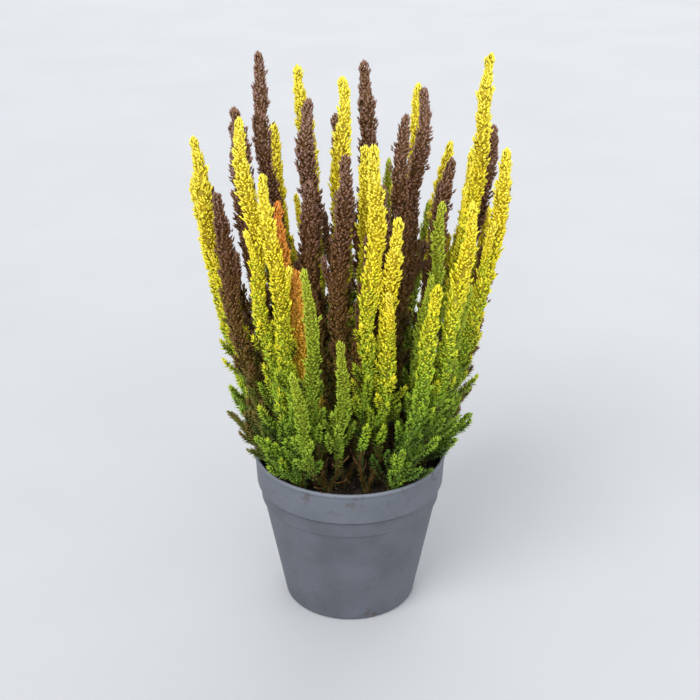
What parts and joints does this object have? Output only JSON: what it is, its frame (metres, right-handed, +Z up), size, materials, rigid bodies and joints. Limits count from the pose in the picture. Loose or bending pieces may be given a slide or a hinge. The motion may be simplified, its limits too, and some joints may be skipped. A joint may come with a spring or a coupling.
{
  "type": "potted heather",
  "caption": "Upright bud heather with golden, brown and green spikes in a grey round nursery pot filled with soil.",
  "frame": {"origin": "centre of the pot's flat underside", "axes": "+Z up along the pot's axis; -Y faces the viewer of the picture; +X to the viewer's right"},
  "size_m": [0.1637, 0.1405, 0.305],
  "materials": {
    "pot_plastic": "dull grey moulded nursery-pot plastic",
    "potting_soil": null,
    "golden_foliage": "matt scale leaves and buds, lemon yellow at the tips and green lower down",
    "brown_foliage": "matt chocolate-brown bud spikes, dull green lower down",
    "rust_foliage": "matt orange-brown bud spikes, green lower down",
    "green_foliage": "matt fresh-green leafy spikes"
  },
  "bodies": {
    "root": {"pot": "pot_plastic", "soil": "potting_soil", "golden_front_left": "golden_foliage", "golden_front_centre": "golden_foliage", "golden_front_right": "golden_foliage", "golden_right": "golden_foliage", "golden_left": "golden_foliage", "golden_centre": "golden_foliage", "golden_back_left": "golden_foliage", "golden_back_right": "golden_foliage", "golden_far_back": "golden_foliage", "golden_corner_right": "golden_foliage", "rust_front_left": "rust_foliage", "green_front_left": "green_foliage", "green_right": "green_foliage", "green_back_right": "green_foliage", "green_back_left": "green_foliage", "brown_front": "brown_foliage", "brown_left_front": "brown_foliage", "brown_left": "brown_foliage", "brown_left_back": "brown_foliage", "brown_right_front": "brown_foliage", "brown_right": "brown_foliage", "brown_back": "brown_foliage", "brown_far_left": "brown_foliage", "brown_far_right": "brown_foliage"}
  },
  "joints": []
}
